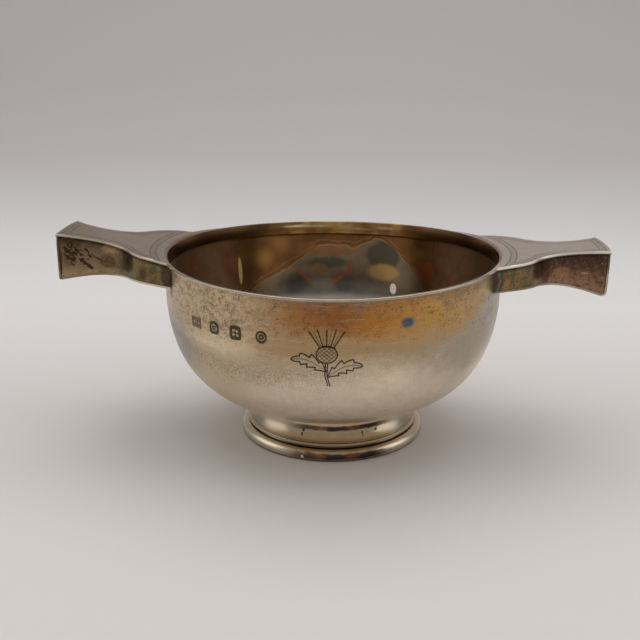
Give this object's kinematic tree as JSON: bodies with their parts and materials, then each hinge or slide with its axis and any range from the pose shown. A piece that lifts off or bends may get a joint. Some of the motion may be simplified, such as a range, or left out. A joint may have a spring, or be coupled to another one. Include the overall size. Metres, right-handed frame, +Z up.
{
  "type": "quaich",
  "caption": "Shallow round silver drinking bowl on a low spun foot, with flat-topped hollow lug handles rising from opposite sides of its rim.",
  "frame": {"origin": "middle of the foot's underside, on the bowl's axis, where the cup stands on a table", "axes": "+X along the handles, to the right-hand handle as seen from the front; +Y from front to back; +Z up"},
  "size_m": [0.1604, 0.1, 0.0622],
  "materials": {
    "bowl_silver": "worn satin sterling silver with warm tarnish under the rim",
    "rim_silver": "bright worn sterling silver",
    "foot_silver": "polished sterling silver, lightly tarnished",
    "plate_silver": "grey satin sterling silver with an engraved border",
    "wall_silver": "sterling silver with dark brown tarnish"
  },
  "bodies": {
    "root": {"bowl": "bowl_silver", "rim_band": "rim_silver", "foot_collar": "foot_silver", "foot_ring": "foot_silver", "left_top_plate": "plate_silver", "left_under_strap": "wall_silver", "left_front_wall": "wall_silver", "left_back_wall": "wall_silver", "right_top_plate": "plate_silver", "right_under_strap": "wall_silver", "right_front_wall": "wall_silver", "right_back_wall": "wall_silver"}
  },
  "joints": []
}
